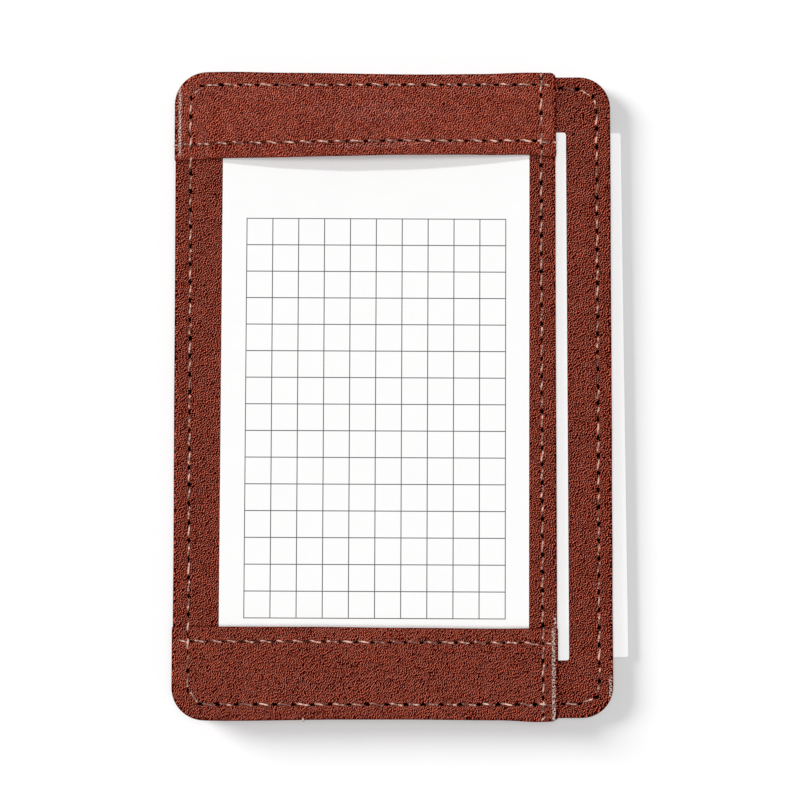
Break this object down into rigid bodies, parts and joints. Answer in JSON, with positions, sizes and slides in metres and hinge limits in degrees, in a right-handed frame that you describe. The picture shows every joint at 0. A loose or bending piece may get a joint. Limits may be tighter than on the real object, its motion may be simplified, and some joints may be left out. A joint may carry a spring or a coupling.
{
  "type": "card jotter case",
  "caption": "Flat leather case with a stiff writing panel: two sewn bands hold a squared note card on its face, and front and back side pockets hold spare cards.",
  "frame": {"origin": "on the surface that the case lies on, under the middle of the whole object, the cards that stick out included", "axes": "+Z out of the case's front face, +Y along the case towards the arched top band, +X towards the pocket mouths"},
  "size_m": [0.1092, 0.1552, 0.0124],
  "materials": {
    "leather": "fine pebbled chestnut leather, satin",
    "band_leather": "the same leather stretched smoother over the bands, satin",
    "thread": "waxed reddish-brown thread",
    "lining": "dark brown woven pocket lining",
    "board": "grey-brown pressed board",
    "card": "smooth white card",
    "squared_card": "smooth white card printed with a thin grey grid of squares"
  },
  "bodies": {
    "case": {"back_pocket_leather": "leather", "back_pocket_lining": "lining", "body_leather": "leather", "body_board": "board", "body_lining": "lining", "writing_panel_leather": "leather", "writing_panel_board": "board", "writing_panel_lining": "lining", "top_band": "band_leather", "bottom_band": "band_leather", "seam_thread": "thread", "body_edge_thread": "thread", "panel_edge_thread": "thread", "top_hem_thread": "thread", "bottom_hem_thread": "thread", "back_seam_thread": "thread", "back_pocket_edge_thread": "thread"},
    "writing_card": {"writing_card": "squared_card"},
    "front_card_lower": {"front_card_lower": "card"},
    "front_card_upper": {"front_card_upper": "card"},
    "back_card_lower": {"back_card_lower": "card"},
    "back_card_upper": {"back_card_upper": "card"}
  },
  "joints": [
    {"name": "writing_card_slide", "type": "slide", "parent": "case", "child": "writing_card", "axis": [0, 1, 0], "range_m": [-0.009, 0.008]},
    {"name": "front_card_lower_slide", "type": "slide", "parent": "case", "child": "front_card_lower", "axis": [1, 0, 0], "range_m": [-0.0144, 0.075]},
    {"name": "front_card_upper_slide", "type": "slide", "parent": "case", "child": "front_card_upper", "axis": [1, 0, 0], "range_m": [-0.0144, 0.075]},
    {"name": "back_card_lower_slide", "type": "slide", "parent": "case", "child": "back_card_lower", "axis": [1, 0, 0], "range_m": [-0.028, 0.074]},
    {"name": "back_card_upper_slide", "type": "slide", "parent": "case", "child": "back_card_upper", "axis": [1, 0, 0], "range_m": [-0.028, 0.074]}
  ]
}
